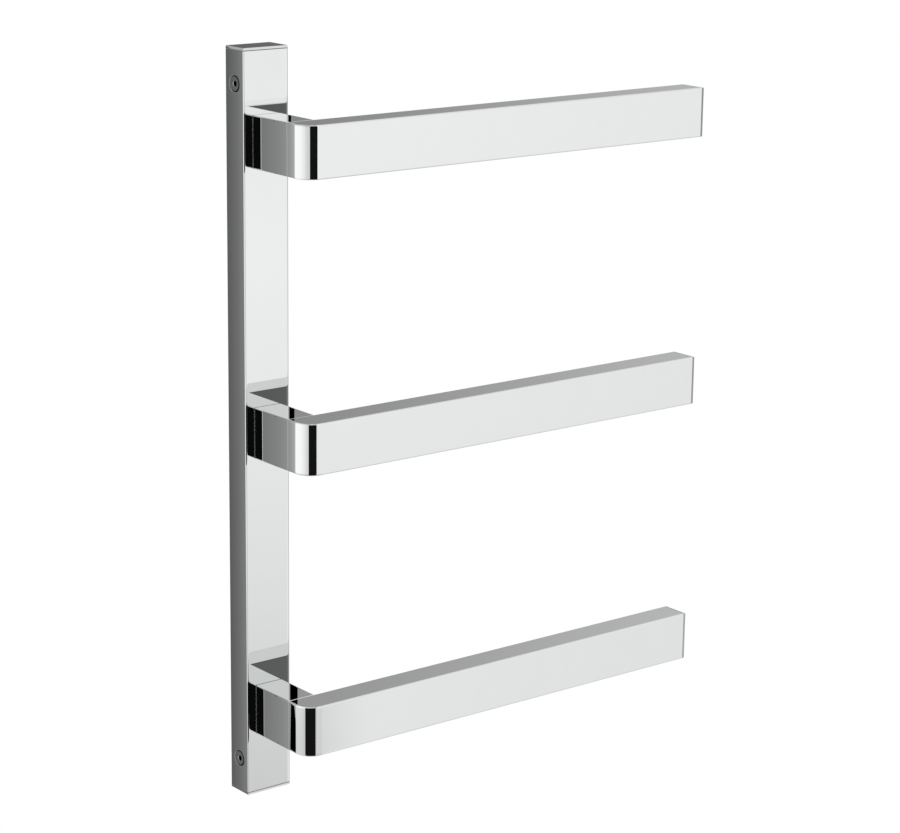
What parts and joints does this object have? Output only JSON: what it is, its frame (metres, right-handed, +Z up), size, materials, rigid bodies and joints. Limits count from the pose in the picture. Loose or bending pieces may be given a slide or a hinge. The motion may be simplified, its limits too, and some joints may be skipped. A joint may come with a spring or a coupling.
{
  "type": "heated towel rail",
  "caption": "Wall-hung heated towel rail: level rectangular arms with a rounded front corner stand off on stubs from an upright rectangular column, with flat end caps.",
  "frame": {"origin": "on the wall plane, midway between the upper and lower wall brackets and on the column's centre line", "axes": "+Z up the column, +X along the arms towards their free ends, +Y into the wall, so the room is at -Y"},
  "size_m": [0.5, 0.115, 0.73],
  "materials": {
    "chrome": "polished chrome plating",
    "bare_steel": "zinc-plated, satin",
    "element_sheath": "stainless sheath, heat-dulled",
    "brass": "bare brass",
    "silicone_leads": "matt silicone sleeve",
    "silicone_spacers": "matt silicone",
    "earth_lead": "matt sleeve",
    "black_rubber": "matt",
    "black_plastic": "moulded, matt",
    "cream_plastic": "moulded, matt"
  },
  "bodies": {
    "root": {"column_tube": "chrome", "column_top_cap": "chrome", "column_bottom_cap": "chrome", "upper_wall_bracket": "bare_steel", "lower_wall_bracket": "bare_steel", "side_screws": "chrome", "screw_bosses": "bare_steel", "terminal_block": "cream_plastic", "clamp_screws": "brass", "terminal_screws": "bare_steel", "thermal_cutout": "black_plastic", "cutout_leads": "silicone_leads", "supply_grommet": "black_rubber", "earth_screw": "brass", "earth_nut": "brass", "earth_tag": "brass", "earth_lead": "earth_lead", "upper_arm_tube": "chrome", "upper_arm_end_cap": "chrome", "upper_stub_tube": "chrome", "upper_anchor_block": "bare_steel", "upper_arm_spigot": "bare_steel", "upper_root_spigot": "bare_steel", "upper_dowel_pins": "bare_steel", "upper_tie_stud": "bare_steel", "upper_tie_nut": "bare_steel", "upper_tie_washer": "bare_steel", "upper_heating_element": "element_sheath", "upper_element_spacers": "silicone_spacers", "upper_heater_leads": "silicone_leads", "middle_arm_tube": "chrome", "middle_arm_end_cap": "chrome", "middle_stub_tube": "chrome", "middle_anchor_block": "bare_steel", "middle_arm_spigot": "bare_steel", "middle_root_spigot": "bare_steel", "middle_dowel_pins": "bare_steel", "middle_tie_stud": "bare_steel", "middle_tie_nut": "bare_steel", "middle_tie_washer": "bare_steel", "middle_heating_element": "element_sheath", "middle_element_spacers": "silicone_spacers", "middle_heater_leads": "silicone_leads", "lower_arm_tube": "chrome", "lower_arm_end_cap": "chrome", "lower_stub_tube": "chrome", "lower_anchor_block": "bare_steel", "lower_arm_spigot": "bare_steel", "lower_root_spigot": "bare_steel", "lower_dowel_pins": "bare_steel", "lower_tie_stud": "bare_steel", "lower_tie_nut": "bare_steel", "lower_tie_washer": "bare_steel", "lower_heating_element": "element_sheath", "lower_element_spacers": "silicone_spacers", "lower_heater_leads": "silicone_leads"}
  },
  "joints": []
}
